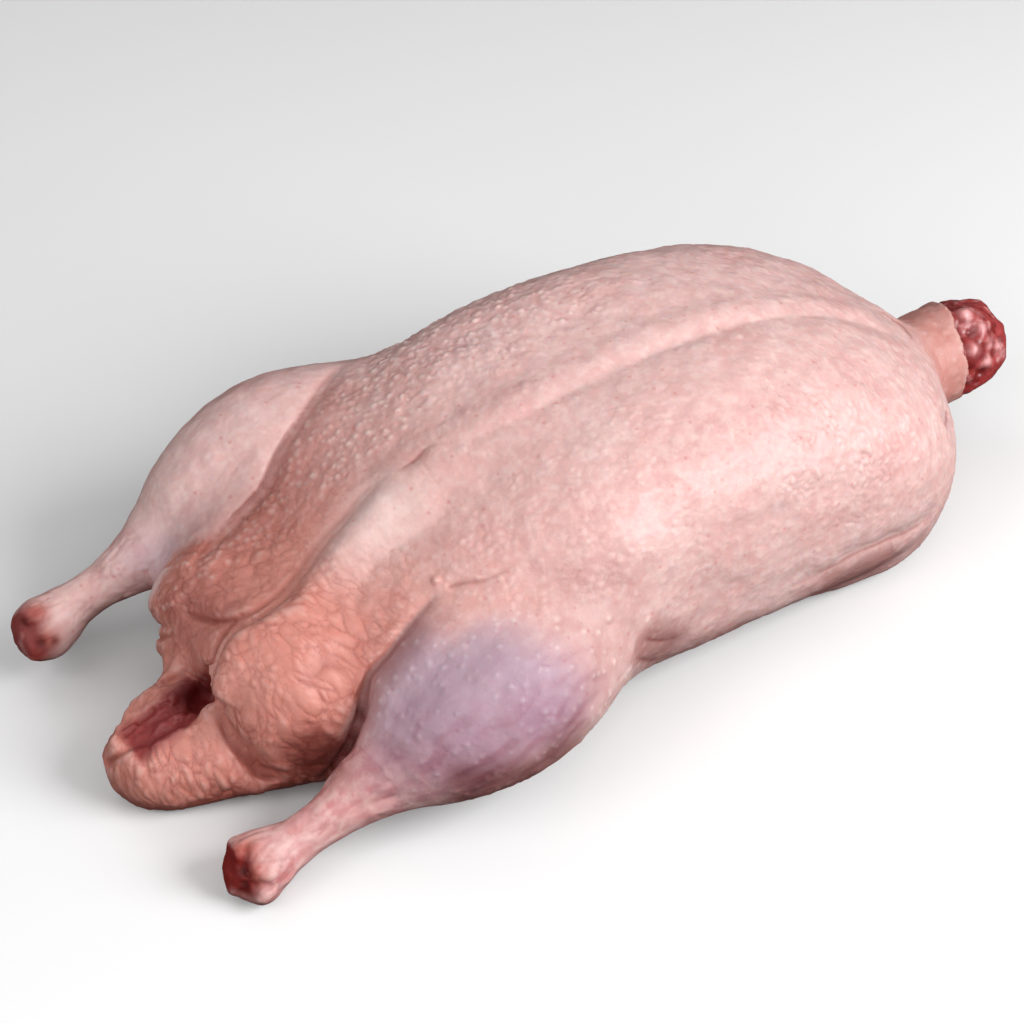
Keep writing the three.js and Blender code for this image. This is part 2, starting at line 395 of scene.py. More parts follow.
NEAR_LEG_TUCK = [(446, 588), (459, 584), (485, 580), (505, 571), (522, 560)]
TAIL_CREASE = [(213, 704), (219, 718), (228, 739), (239, 752), (251, 766), (262, 776), (285, 782)]
VENT = [(207, 687), (201, 696), (188, 706), (172, 718), (154, 730), (138, 741), (124, 750)]
VENT_HOLE = [(205, 684), (197, 690), (190, 695)]
VENT_FOLDS = [
    [(196, 704), (178, 722), (160, 733), (146, 738)],
    [(186, 700), (168, 712), (150, 722), (134, 736)],
    [(172, 700), (156, 708), (142, 718), (130, 726)],
]
NEAR_LIP = [(214, 716), (200, 724), (188, 729), (170, 737), (152, 746), (131, 752), (112, 764)]
FAR_LIP_LUMPS = [(158, 688), (146, 696), (135, 705), (127, 716), (120, 728), (114, 742)]
LIP_NODULE = [(207, 710)]
NODULE_CREASE = [(194, 700), (206, 700), (220, 704), (226, 714)]
TAIL_NOTCH = [(136, 744), (120, 754), (108, 763), (100, 766)]
WING_CREASE = [(938, 513), (908, 532), (868, 548), (836, 565), (806, 580), (780, 592)]
BREAST_GROOVE = [(600, 520), (640, 524), (690, 530), (735, 528), (775, 514), (815, 497), (860, 470)]
KNEE_CREASE = [(627, 616), (636, 630), (640, 646), (632, 662)]
KNEE_TOP = [(600, 600), (590, 622), (612, 628)]
KNEE_WRINKLES = [[(640, 638), (662, 640), (684, 634)], [(634, 658), (655, 660), (680, 652)]]
HOCK_EDGE = [(243, 842), (246, 852), (244, 866), (249, 880)]
HOCK_CREASE = [(250, 886), (263, 884), (276, 888)]
SHANK_SINEW = [(346, 816), (384, 800), (420, 795)]
NECK_FOLD_FAR = [(874, 309), (890, 318), (903, 327), (915, 344)]
NECK_FOLD_NEAR = [(951, 398), (948, 412), (946, 428)]
BREAST_SHINE = [(740, 440), (800, 450), (850, 440), (700, 470)]
PIMPLE = [(436, 580)]
NEAR_MAUVE = [
    (425, 655), (402, 700), (395, 730), (445, 690), (475, 645), (480, 700), (515, 670), (530, 705),
    (470, 745), (435, 750), (505, 735), (550, 692), (556, 708),
]
NEAR_PLUM = [
    (425, 770), (440, 750), (475, 765), (515, 750), (550, 728), (580, 692), (470, 785), (400, 770),
    (568, 712),
]
LEG_PATCH = [(354, 728), (349, 741), (343, 753), (360, 712)]
FAR_CALF = [(118, 566), (130, 557), (148, 566)]
FAR_MAUVE = [(150, 560), (166, 556)]

# Places, the radius of the hollow at each, and its depth. A negative depth is a lump.
HOCK_SHAPE = [
    ([(245, 885)], 3.2, 1.8), ([(238, 872)], 3.5, 1.5), ([(236, 850)], 3.5, -1.6),
    ([(262, 896)], 5.5, -3.2), ([(231, 890)], 3.0, -1.6), ([(243, 894)], 3.0, 2.0),
    ([(233, 842)], 3.0, -1.8), ([(228, 862)], 4.0, 1.2),
    ([(41, 643)], 2.2, 1.4), ([(55, 641)], 1.6, 1.0), ([(24, 614)], 3.5, -1.5),
    ([(30, 632)], 4.0, 1.6), ([(36, 656)], 3.5, -1.5),
]
HOCK_RED = [(236, 880), (245, 884), (238, 868), (232, 872), (28, 628), (22, 622), (30, 642), (36, 650)]
HOCK_PITS = [(245, 885), (243, 872), (41, 643), (55, 641), (24, 622)]
HOCK_BARE = [(254, 894), (262, 897), (272, 897), (244, 898), (28, 652)]
HOCK_RIM = [(236, 852), (246, 850), (252, 874), (36, 612), (46, 640), (36, 660)]
FLESH_LUMPS = [(983, 326), (994, 343), (977, 350), (1004, 347), (966, 312), (990, 362)]
FLESH_HOLLOWS = [(974, 331), (985, 376), (972, 388)]
DENTS = [
    (VENT_HOLE, 4.5, 6.0), (FAR_LIP_LUMPS, 3.0, -1.8), (LIP_NODULE, 3.6, -2.2),
    (FAR_CALF, 12.0, -1.8), *HOCK_SHAPE,
]

# Shaded edges on both sides: a line, how far the shade reaches, its strength, and its fading ends.
UNDER_EDGES = [
    ([(770, 613), (800, 599), (836, 584), (868, 569), (898, 553), (922, 530)], 15, 0.62, 30, 24),
    ([(650, 656), (700, 641), (770, 613)], 9, 0.35, 6, 10),
    ([(598, 708), (580, 734), (542, 770), (490, 788), (430, 795)], 17, 0.75, 24, 12),
    ([(635, 630), (650, 645), (680, 648), (705, 640)], 13, 0.62, 8, 25),
]
LOBE_SHADE = [(280, 770), (312, 752), (335, 735)]
# Spots of painted shade on the far flank and the far lobe.
FAR_SIDE_SHADE = [
    (330, 400), (305, 440), (285, 475), (265, 508), (245, 535), (195, 592), (205, 606), (190, 608),
]
SHADED_PLACES = [(FAR_SIDE_SHADE, 12, 0.48), (KNEE_TOP, 16, 0.32)]
PALE_BAND = [(425, 465), (392, 500), (360, 535), (330, 570), (300, 600)]
SKIN_EDGE = [(943, 302), (951, 320), (962, 336), (967, 355), (970, 374), (963, 392)]


class Fold:
    """A fold of the skin: its line, and how deep its valley is at even steps along it.

    The lips beside it are lip times as high as it is deep, and broad times as wide as it is. With
    over 1 or -1 they stand on that side only. The fade is in millimetres at the two ends, sharp is
    the depth of the crease at the bottom, and both gives the fold a mirror image.
    """

    def __init__(
        self, pixels, depths, width, lip=0.3, over=0, fade=(8, 8), sharp=0.0, both=False, broad=1.0
    ):
        self.pixels, self.depths, self.width, self.lip = pixels, depths, width, lip
        self.over, self.fade, self.sharp, self.both = over, fade, sharp, both
        self.broad = broad

    def lines(self, tree):
        line = traced(tree, self.pixels)
        return [(line, 1), (mirrored(tree, line), -1)] if self.both else [(line, 1)]


FOLDS = [
    Fold(KEEL_GROOVE, [0.6, 1.3, 1.8, 1.6, 1.2, 0.8], 4, 0.6, -1, (20, 15)),
    Fold(KEEL_NOTCH, [0.6, 1.2, 0.8], 3, sharp=0.5),
    Fold(LOBE_CREASE, [2.0, 3.0, 4.0, 6.0, 7.0], 4.5, 0.45, 1, (12, 1), 1.6),
    Fold(FAR_LOBE_CREASE, [1.2, 2.5, 2.5], 2.6, 0.4, 0, (6, 1), 0.9),
    Fold(FAR_LOBE_FOLD, [1.0, 3.0, 4.0], 3, 0.4, 0, (5, 1), 1.2),
    Fold(FAR_LOBE_EDGE, [3.0, 4.0, 3.5], 3, 0.3, 0, (1, 1), 1.2),
    Fold(NEAR_BAND_GROOVE, [0.6, 1.4, 1.6, 1.2], 6, 0.3, 0, (10, 10)),
    Fold(FAR_LEG_CREASE, [1.5, 4.0, 5.0, 4.0], 3.0, 0.1, 0, (12, 14), 1.4),
    Fold(NEAR_LEG_CREASE, [1.0, 2.6, 4.6, 6.0], 1.8, 0.6, 1, (16, 2), 2.4, broad=2.8),
    Fold(NEAR_LEG_TUCK, [1.2, 0.8, 0.4], 2.4, 0.2, 0, (2, 8), 0.4),
    Fold(TAIL_CREASE, [3.0, 5.0, 5.0], 3.5, 0.3, 0, (2, 6), 1.8, True),
    Fold(NODULE_CREASE, [1.5, 2.5, 2.0], 1.8, 0.2, 0, (1, 3), 1.0),
    Fold(TAIL_NOTCH, [1.5, 2.5], 2.0, 0.3, 0, (4, 1), 1.2),
    *[Fold(line, [1.5, 1.8, 1.2], 1.7, 0.5, 0, (2, 4), 0.9) for line in VENT_FOLDS],
    Fold(WING_CREASE, [0.8, 1.8, 1.6, 0.6], 4, 0.1, 0, (12, 20), 0.3, True),
    Fold(BREAST_GROOVE, [0.3, 0.8, 1.0, 0.6], 11, 0.3, 0, (30, 30), 0.0, True),
    Fold(KNEE_CREASE, [0.4, 1.4, 1.2], 4, 0.1, 0, (8, 4), 0.0, True),
    Fold(HOCK_EDGE, [0.8, 1.4, 2.0, 2.6], 1.5, 0.3, 0, (2, 1), 0.8),
    Fold(HOCK_CREASE, [1.6, 1.4, 0.8], 1.5, 0.4, 0, (1, 2), 0.5),
    Fold(SHANK_SINEW, [0.6, 0.9, 0.5], 1.8, 0.6, 0, (8, 10)),
    Fold(NECK_FOLD_FAR, [1.4, 1.6, 0.7], 3.5, 0.3, 0, (8, 8), 0.3),
    Fold(NECK_FOLD_NEAR, [1.5, 1.5], 4, 0.3, 0, (2, 2), 0.4),
    *[Fold(line, [0.4, 0.4], 1.6, 0.1, 0, (6, 10), 0.1, True) for line in KNEE_WRINKLES],
    Fold(NEAR_LIP, [-1.0, -1.5, -1.0], 3.0, 0, 0, (4, 2)),
    Fold(VENT, [5.0, 3.0, 2.2, 1.2], 4.5, 0, 0, (1, 4)),
]
CREASE_REACH = 6

# Hollows of the solid that are filled before the folds are sunk: a line, its reach, and the rounds.
FILLS = [
    (NEAR_LEG_CREASE, 30, 120), (FAR_LEG_CREASE, 24, 60), (TAIL_CREASE, 10, 15),
    (FAR_LOBE_FILL, 18, 50), (VENT, 12, 40),
]
FINER_FILLS = [(VENT, 10, 60)]


def sculpt_folds(skin):
    """The valleys between the bird's masses."""
    fill_hollows(skin, FINER_FILLS)
    skin.refresh()
    tree = skin.tree()
    height = np.zeros(len(skin.points))
    for fold in FOLDS:
        for line, hand in fold.lines(tree):
            groove(skin, height, line, fold, hand)
    for places, radius, depth in DENTS:
        dent(skin, height, seen(tree, places), radius, depth)
    skin.push(height)


def sculpt_creases(skin, marks):
    """The sharp bottoms of the same folds."""
    tree = skin.tree()
    height = np.zeros(len(skin.points))
    for fold in FOLDS:
        if not fold.sharp:
            continue
        profile = np.array(fold.depths) / max(fold.depths)
        for line, _ in fold.lines(tree):
            near = Near(skin, line, CREASE_REACH)
            depth = near.strength(profile) * near.fade(*fold.fade)
            cut = depth * np.exp(-((near.away / (0.7 + 0.25 * fold.sharp)) ** 1.3))
            height[near.rows] -= fold.sharp * cut
            # Painted shade in the crease's bottom.
            marks["groove"][near.rows] = np.maximum(marks["groove"][near.rows], cut)
    skin.push(height)


# The regions of the skin.

# Each leg's middle line from knee to hock in the bird's own frame: X, Y, Z and the leg's radius.
LEFT, RIGHT = -1, 1
LEG_STATIONS = {
    LEFT: [
        (216, -71, 64, 24), (188, -78, 60, 32), (156, -86, 57, 36), (128, -87, 50, 31),
        (102, -87, 41, 19), (76, -87, 32, 12), (50, -88, 24, 11), (32, -86, 18, 15),
    ],
    RIGHT: [
        (199, 71, 70, 28), (171, 78, 64, 38), (139, 86, 59, 42), (111, 87, 50, 36),
        (85, 87, 41, 22), (59, 85, 32, 12), (33, 84, 24, 11), (15, 83, 18, 15),
    ],
}


def leg_share(own, side):
    """1 on a leg and 0 off it, how far along it from knee, 0, to hock, 1, and how far off it."""
    line = np.array(LEG_STATIONS[side], float)
    best = np.full(len(own), np.inf)
    along = np.zeros(len(own))
    for i, (a, b) in enumerate(zip(line[:-1], line[1:])):
        ahead = b[:3] - a[:3]
        t = np.clip((own - a[:3]) @ ahead / (ahead @ ahead), 0, 1)
        away = np.linalg.norm(own - a[:3] - t[:, None] * ahead, axis=1)
        away = away - (a[3] + t * (b[3] - a[3]))
        nearer = away < best
        best = np.where(nearer, away, best)
        along = np.where(nearer, (i + t) / (len(line) - 1), along)
    return smooth(7.0, 1.0, best), along, best


def cover(points, centres, radius):
    """Like spot, but the places run together where they are close."""
    total = sum(np.exp(-((points - c) ** 2).sum(1) / radius**2) for c in np.atleast_2d(centres))
    return 1 - np.exp(-total)


def spot(points, centres, radius):
    """1 at these places, falling to 0 over about the radius."""
    away = np.min([np.linalg.norm(points - c, axis=1) for c in np.atleast_2d(centres)], axis=0)
    return np.exp(-((away / radius) ** 2))


def covered(skin, reach=45.0, rays=14, lift=0.4):
    """How much of the sky each point loses to the bird itself and the floor, from 0 to 1. The material
    paints this into the skin's colour as shade.
    """
    tree = skin.tree()
    turn = math.pi * (3 - math.sqrt(5))
    hidden = np.zeros(len(skin.points))
    aside = unit(np.cross(skin.normals, (0.3, 0.5, 0.8)))
    across = np.cross(skin.normals, aside)
    starts = skin.points + lift * skin.normals
    for i in range(rays):
        rise = math.sqrt(1 - (i + 0.5) / rays)
        flat = math.sqrt(1 - rise * rise)
        way = (
            rise * skin.normals
            + flat * math.cos(i * turn) * aside
            + flat * math.sin(i * turn) * across
        )
        for row, (start, ahead) in enumerate(zip(starts.tolist(), way.tolist())):
            floor_hit = ahead[2] < -0.05 and start[2] / -ahead[2] < reach
            if floor_hit or tree.ray_cast(start, ahead, reach)[0] is not None:
                hidden[row] += 1
    return hidden / rays


class Regions:
    """How much of each kind of skin every point has, and how much painted shade, from 0 to 1."""

    def __init__(self, skin, shade):
        self.skin, self.tree, self.shade = skin, skin.tree(), shade
        self.own = upright(skin.points)
        self.find_legs()
        self.find_body()
        self.find_neck()
        self.find_hocks()
        self.find_strips()
        self.find_painted_shade()

    def find_legs(self):
        points, tree = self.skin.points, self.tree
        self.left_leg, left_along, left_away = leg_share(self.own, LEFT)
        self.right_leg, self.right_along, right_away = leg_share(self.own, RIGHT)
        calf = cover(points, seen(tree, FAR_CALF), 15)
        self.right_leg = np.maximum(self.right_leg, smooth(0.1, 0.4, calf))
        for share, away, reach, pixels, hand, soft in (
            (self.left_leg, left_away, 28, NEAR_LEG_CREASE, 1, 1.5),
            (self.right_leg, right_away, 18, FAR_LEG_CREASE, -1, 6.0),
        ):
            near = Near(self.skin, traced(tree, pixels), 40)
            inside = smooth(-soft, soft, hand * near.side)
            inside = inside * smooth(reach, reach - 8, away[near.rows])
            hold = smooth(40, 26, near.away) * near.fade(25, 0)
            share[near.rows] += hold * (inside - share[near.rows])
        patch = cover(points, seen(tree, LEG_PATCH), 6)
        self.left_leg = np.maximum(self.left_leg, smooth(0.2, 0.6, patch))
        self.leg = np.maximum(self.left_leg, self.right_leg)
        along = np.where(self.left_leg > self.right_leg, left_along, self.right_along)
        self.shank = self.leg * smooth(0.5, 0.68, along)
        self.thigh = self.leg * smooth(0.66, 0.46, along)

    def find_body(self):
        x, y, z = self.own.T
        body = 1 - self.leg
        wander = 6 * rough(self.skin.points, 30, 11)
        middle = smooth(70, 50, np.abs(y + 10))
        self.rump = body * smooth(168, 96, x + wander)
        self.tail = body * smooth(62, 44, x - 0.2 * z + 0.5 * wander) * middle
        self.belly = body * smooth(225, 150, x + wander)
        self.under = smooth(-0.25, -0.8, self.skin.normals[:, 2])

    def find_neck(self):
        """The cut flesh lies beyond the plane through the skin's edge, which is a little ragged."""
        points, x = self.skin.points, self.own[:, 0]
        edge = seen(self.tree, SKIN_EDGE)
        middle = edge.mean(0)
        facing = np.linalg.svd(edge - middle)[2][2]
        facing = facing * np.sign(facing[0])
        beyond = (points - middle) @ facing
        self.beyond = beyond + 2.2 * rough(points, 11, 5) + 0.8 * noise(points, 3, 6)
        self.flesh = smooth(-0.4, 0.6, self.beyond) * smooth(430, 440, x)
        self.neck = smooth(425, 450, x) * (1 - self.flesh)

    def find_hocks(self):
        points, tree = self.skin.points, self.tree
        x = points[:, 0]
        red = spot(points, seen(tree, HOCK_RED), 6.5)
        end = self.leg * smooth(0.5, 0.85, -self.skin.normals[:, 0]) * smooth(-190, -197, x)
        end = end * (1 - cover(points, seen(tree, HOCK_BARE), 5.5))
        self.hock = np.clip(1.2 * np.maximum(red, end), 0, 1) * self.leg
        self.hock = self.hock * smooth(-180, -186, x) * (1 - 0.1 * self.right_leg)
        self.rim = spot(points, seen(tree, HOCK_RIM), 5.0)
        # Painted shade in the vent's hole and in the hocks' pits.
        hock_pits = spot(points, seen(tree, HOCK_PITS), 2.2)
        self.pit = spot(points, seen(tree, VENT_HOLE), 6.0) + 0.8 * hock_pits

    def find_strips(self):
        """The open vent, and the pale band of skin that runs down to it."""
        count = len(self.skin.points)
        self.vent, self.band = np.zeros(count), np.zeros(count)
        near = Near(self.skin, traced(self.tree, VENT), 16)
        self.vent[near.rows] = smooth(12.5, 7, near.away) * near.fade(0, 4)
        near = Near(self.skin, traced(self.tree, PALE_BAND), 26)
        self.band[near.rows] = smooth(26, 2, near.away) * near.fade(20, 45)

    # Painted shade along shaded edges, beside the leg creases and at shaded places; the neck's skin is
    # also made a little darker.
    def find_painted_shade(self):
        skin, tree = self.skin, self.tree
        self.painted_shade = np.zeros(len(skin.points))
        for pixels, reach, strength, *ends in UNDER_EDGES:
            line = traced(tree, pixels)
            self.paint_shade_along(line, reach, strength, ends)
            self.paint_shade_along(mirrored(tree, line), reach, strength, ends)
        self.paint_shade_along(traced(tree, LOBE_SHADE), 16, 0.65, (10, 2))
        # Painted shade on the near leg beside its crease, and on the body beside the far leg's crease.
        near = Near(skin, traced(tree, NEAR_LEG_CREASE), 18)
        beside = smooth(18, 3, near.away) * smooth(-1, 1, near.side) * near.fade(25, 10)
        self.paint_shade(near.rows, 0.6 * beside)
        near = Near(skin, traced(tree, FAR_LEG_CREASE), 24)
        beside = smooth(24, 2, near.away) * smooth(0.35, 0.8, near.along) * smooth(1, -1, near.side)
        beside = beside * near.fade(0, 16)
        self.paint_shade(near.rows, 0.5 * beside)
        for places, radius, strength in SHADED_PLACES:
            shaded = strength * cover(skin.points, seen(tree, places), radius)
            self.painted_shade = np.maximum(self.painted_shade, shaded)
        self.painted_shade = np.maximum(self.painted_shade, 0.22 * self.neck)

    def paint_shade(self, rows, painted_shade):
        """Paints shade on these points, but leaves those whose painted shade is stronger."""
        self.painted_shade[rows] = np.maximum(self.painted_shade[rows], painted_shade)

    def paint_shade_along(self, line, reach, strength, ends):
        near = Near(self.skin, line, reach + 4)
        painted_shade = strength * smooth(reach + 3, 0.4 * reach, near.away) * near.fade(*ends)
        self.paint_shade(near.rows, painted_shade)


# The texture of the skin.

# The directions that its wrinkles run in.
NEAR_LOBE_WAY = (0.5, -0.6, -0.6)
FAR_LOBE_WAY = (0.9, -0.3, -0.35)
TAIL_WAY = (0.1, -0.3, -1.0)
FLANK_WAY = (1.0, 0.3, -0.5)
BREAST_WAY = (0.2, -0.9, -0.3)
THIGH_WAY = (1.0, 0.0, 0.4)
SHANK_WAY = (1.0, 0.0, 0.35)
VENT_WAY = (0.9, 0.0, 0.4)
FLESH_WAY = (0.2, 1.0, 0.3)


def stretched(points, along, size, stretch, seed, warp):
    """Points in units of a lump's size, drawn out along a direction and stirred a little."""
    along = np.array(along, float) / np.linalg.norm(along)
    stir = np.stack([noise(points, 2.5 * size, seed + 20 + axis) for axis in range(3)], 1)
    moved = points + warp * size * stir
    return (moved - np.outer(moved @ along, along) * (1 - 1 / stretch)) / size


def wrinkle(skin, marks, share, along, size, stretch, depth, seed, warp, valley_shade):
    """Raises soft pillows of skin with thin valleys between them, darkened with painted shade, which
    fade here and there.
    """
    rows = np.flatnonzero(share > FAINT)
    if not len(rows):
        return
    where = stretched(skin.points[rows], along, size, stretch, seed, warp)
    first, second, number = cells(where, seed)
    border = second - first
    patch = smooth(-0.5, 0.5, rough(skin.points[rows], 3.5 * size, seed + 2, 2))
    pillow = smooth(0, 0.7, border) * (0.6 + 0.8 * number) - 0.35 * first
    valley = np.exp(-border / 0.09) * (0.1 + 0.9 * patch)
    strength = share[rows] * (0.4 + 0.6 * patch)
    marks["height"][rows] += strength * depth * (pillow - 0.6 - 0.35 * valley)
    # Painted shade in the valleys.
    marks["groove"][rows] = np.maximum(marks["groove"][rows], valley_shade * share[rows] * valley)


def bumps(skin, marks, share, spacing, radius, depth, seed, kept, pale):
    """Raises round bumps where feathers grew. Kept is the share of the places that have one."""
    rows = np.flatnonzero(share > FAINT)
    if not len(rows):
        return
    first, _, number = cells(skin.points[rows] / spacing, seed)
    size = (0.6 + 0.6 * number) * (number < kept)
    dome = np.exp(-((first * spacing / (radius * np.maximum(size, 0.1))) ** 2)) * (size > 0)
    marks["height"][rows] += share[rows] * depth * dome * size
    marks["pale"][rows] += pale * share[rows] * smooth(0.15, 0.8, dome)


def sculpt_wrinkles(skin, regions, marks):
    """The network of wrinkles on the fat, and the pebbling and bumps of the rest."""
    r = regions
    tree = skin.tree()
    x, y, _ = r.own.T
    near = smooth(6, -12, y)
    far = 1 - near
    body = 1 - r.leg
    calm = (1 - 0.9 * r.flesh) * (1 - 0.8 * r.vent) * (1 - 0.6 * r.band) * (1 - 0.5 * r.under)
    lobes = r.rump * (1 - r.tail) * calm
    flank = body * smooth(330, 230, x) * smooth(12, 34, np.abs(y)) * calm
    flank = flank * (1 - (0.4 + 0.5 * near) * r.rump)
    breast = body * (1 - r.rump) * (1 - flank) * calm
    for share, along, size, stretch, depth, seed, warp, valley_shade in (
        (lobes * near, NEAR_LOBE_WAY, 5.4, 3.6, 0.5, 31, 0.5, 0.8),
        (lobes * near, NEAR_LOBE_WAY, 3.0, 2.8, 0.26, 35, 0.5, 0.7),
        (lobes * far, FAR_LOBE_WAY, 5.4, 3.0, 0.45, 41, 0.5, 0.7),
        (lobes * far, FAR_LOBE_WAY, 3.0, 2.2, 0.24, 45, 0.5, 0.6),
        (r.tail * calm, TAIL_WAY, 4.4, 4.2, 0.42, 51, 0.5, 0.9),
        (r.tail * calm, TAIL_WAY, 2.6, 3.0, 0.2, 55, 0.5, 0.6),
        (flank * (1 - 0.5 * near), FLANK_WAY, 3.4, 1.3, 0.38, 61, 0.35, 0.5),
        (breast, BREAST_WAY, 3.4, 2.2, 0.2, 71, 0.45, 0.1),
        (r.thigh * calm, THIGH_WAY, 4.6, 1.8, 0.14, 81, 0.45, 0.0),
        (r.shank * calm, SHANK_WAY, 3.6, 4.0, 0.4, 91, 0.45, 0.5),
        (r.vent, VENT_WAY, 3.4, 3.5, 1.0, 95, 0.45, 0.6),
    ):
        wrinkle(skin, marks, share, along, size, stretch, depth, seed, warp, valley_shade)
    for share, spacing, radius, depth, seed, kept, pale in (
        (flank * (1 - 0.55 * near), 3.2, 1.4, 0.5, 121, 0.85, 0.55),
        (breast, 3.6, 1.3, 0.22, 131, 0.75, 0.2),
        (r.thigh * (1 - 0.7 * r.right_leg), 3.6, 1.4, 0.42, 141, 0.55, 0.8),
    ):
        bumps(skin, marks, share, spacing, radius, depth, seed, kept, pale)
    shine = spot(skin.points, seen(tree, BREAST_SHINE), 34) * breast
    wrinkle(skin, marks, shine, BREAST_WAY, 3.0, 3.0, 0.55, 151, 0.45, 0.5)
    marks["height"] += 1.1 * rough(skin.points, 7, 97) * r.vent
    dent(skin, marks["height"], seen(tree, PIMPLE), 1.5, -1.6)
    marks["height"] += 0.8 * rough(skin.points, 24, 7) * body * calm
    marks["height"] += 0.35 * noise(skin.points, 9, 17) * calm
    skin.push(marks["height"])


def sculpt_flesh(skin, regions, marks):
    """The cut neck: soft nodules of flesh inside the edge of the skin."""
    rows = np.flatnonzero(regions.flesh > FAINT)
    points, flesh = skin.points[rows], regions.flesh[rows]
    tree = skin.tree()
    first, second, number = cells(stretched(points, FLESH_WAY, 10.0, 1.3, 101, 1.1), 101)
    dome = smooth(0, 0.9, second - first)
    rim = np.exp(-(((regions.beyond[rows] - 2.0) / 1.6) ** 2))
    swell = noise(points, 5, 109)
    lumps = 0.2 * dome * (0.4 + 0.6 * number) + 2.2 * noise(points, 14, 107)
    lumps += 0.5 * swell + 0.16 * noise(points, 2.2, 111)
    height = np.zeros(len(skin.points))
    height[rows] = flesh * (lumps - 1.8 - 1.0 * rim)
    dent(skin, height, seen(tree, FLESH_LUMPS), 3.0, -0.9)
    dent(skin, height, seen(tree, FLESH_HOLLOWS), 2.8, 2.0)
    pale = 0.62 * smooth(0.1, 0.6, rough(points, 6, 113))
    pale = np.maximum(pale, spot(points, seen(tree, FLESH_LUMPS), 3.0))
    # Painted shade in the flesh: darker in the sunk ring inside the skin's edge, in its low parts and
    # in its hollows.
    painted_shade = np.maximum(0.5 * rim, 0.6 * smooth(0.0, -0.5, swell))
    painted_shade = np.maximum(painted_shade, 0.8 * spot(points, seen(tree, FLESH_HOLLOWS), 3.0))
    marks["gristle"][rows] = flesh * pale
    marks["pit"][rows] = flesh * painted_shade
    skin.push(height)


# Materials.


class Nodes:
    """A short way to build a material's nodes."""

    def __init__(self, material):
        material.use_nodes = True
        self.tree = material.node_tree
        self.tree.nodes.clear()

    def add(self, kind, **settings):
        node = self.tree.nodes.new(kind)
        inputs = settings.pop("inputs", {})
        for name, value in settings.items():
            setattr(node, name, value)
        for name, value in inputs.items():
            self.put(node.inputs[name], value)
        return node

    def put(self, socket, value):
        if isinstance(value, bpy.types.NodeSocket):
            self.tree.links.new(value, socket)
        else:
            socket.default_value = value

    def attribute(self, name):
        return self.add("ShaderNodeAttribute", attribute_name=name).outputs["Fac"]

    def math(self, operation, a, b=0.0, clamp=False):
        node = self.add("ShaderNodeMath", operation=operation, use_clamp=clamp)
        self.put(node.inputs[0], a)
        self.put(node.inputs[1], b)
        return node.outputs[0]

    def mix(self, share, a, b, blend="MIX"):
        node = self.add("ShaderNodeMix", data_type="RGBA", blend_type=blend)
        self.put(node.inputs["Factor"], share)
        self.put(node.inputs["A"], a)
        self.put(node.inputs["B"], b)
        return node.outputs["Result"]

    def noise(self, where, scale, detail=3.0, roughness=0.55):
        return self.add(
            "ShaderNodeTexNoise",
            inputs={"Vector": where, "Scale": scale, "Detail": detail, "Roughness": roughness},
        ).outputs["Fac"]

    def between(self, value, low, high, to_low=0.0, to_high=1.0):
        return self.add(
            "ShaderNodeMapRange",
            interpolation_type="SMOOTHSTEP",
            inputs={
                "Value": value, "From Min": low, "From Max": high, "To Min": to_low, "To Max": to_high,
            },
        ).outputs["Result"]

    def end(self, shader, kind="ShaderNodeOutputMaterial"):
        """Joins a shader to a new output."""
        self.tree.links.new(shader.outputs[0], self.add(kind).inputs[0])


def linear(red, green, blue):
    """A colour given as it shows on screen, 0 to 255, in linear light."""
    shown = np.array([red, green, blue]) / 255
    light = np.where(shown <= 0.04045, shown / 12.92, ((shown + 0.055) / 1.055) ** 2.4)
    return (*light, 1.0)


SKIN_PINK = linear(223, 183, 179)
SKIN_BLUSH = linear(216, 160, 156)
SKIN_ORANGE = linear(206, 127, 110)
SHANK_RED = linear(202, 130, 130)
SKIN_MAUVE = linear(148, 128, 158)
SKIN_PALE = linear(240, 214, 208)
# Painted shade: multiplied into the colour where a point is hidden from the sky.
OCCLUSION_SHADE_TINT = linear(190, 128, 120)
# Multiplied into the colour as painted shade in the valleys of wrinkles and creases.
GROOVE_SHADE_TINT = linear(166, 92, 80)
FLESH_RED = linear(162, 62, 62)
FLESH_PALE = linear(228, 168, 168)
VENT_RED = linear(132, 30, 34)
HOCK_BROWN = linear(124, 22, 16)
HOCK_ORANGE = linear(196, 104, 86)
SKIN_PLUM = linear(148, 84, 104)
PORE_RED = linear(206, 124, 120)
# Multiplied into the colour as painted shade along shaded edges and places.
PAINTED_SHADE_TINT = linear(156, 100, 96)
# Multiplied into the colour as painted shade in pits and hollows.
PIT_SHADE_TINT = linear(150, 60, 60)


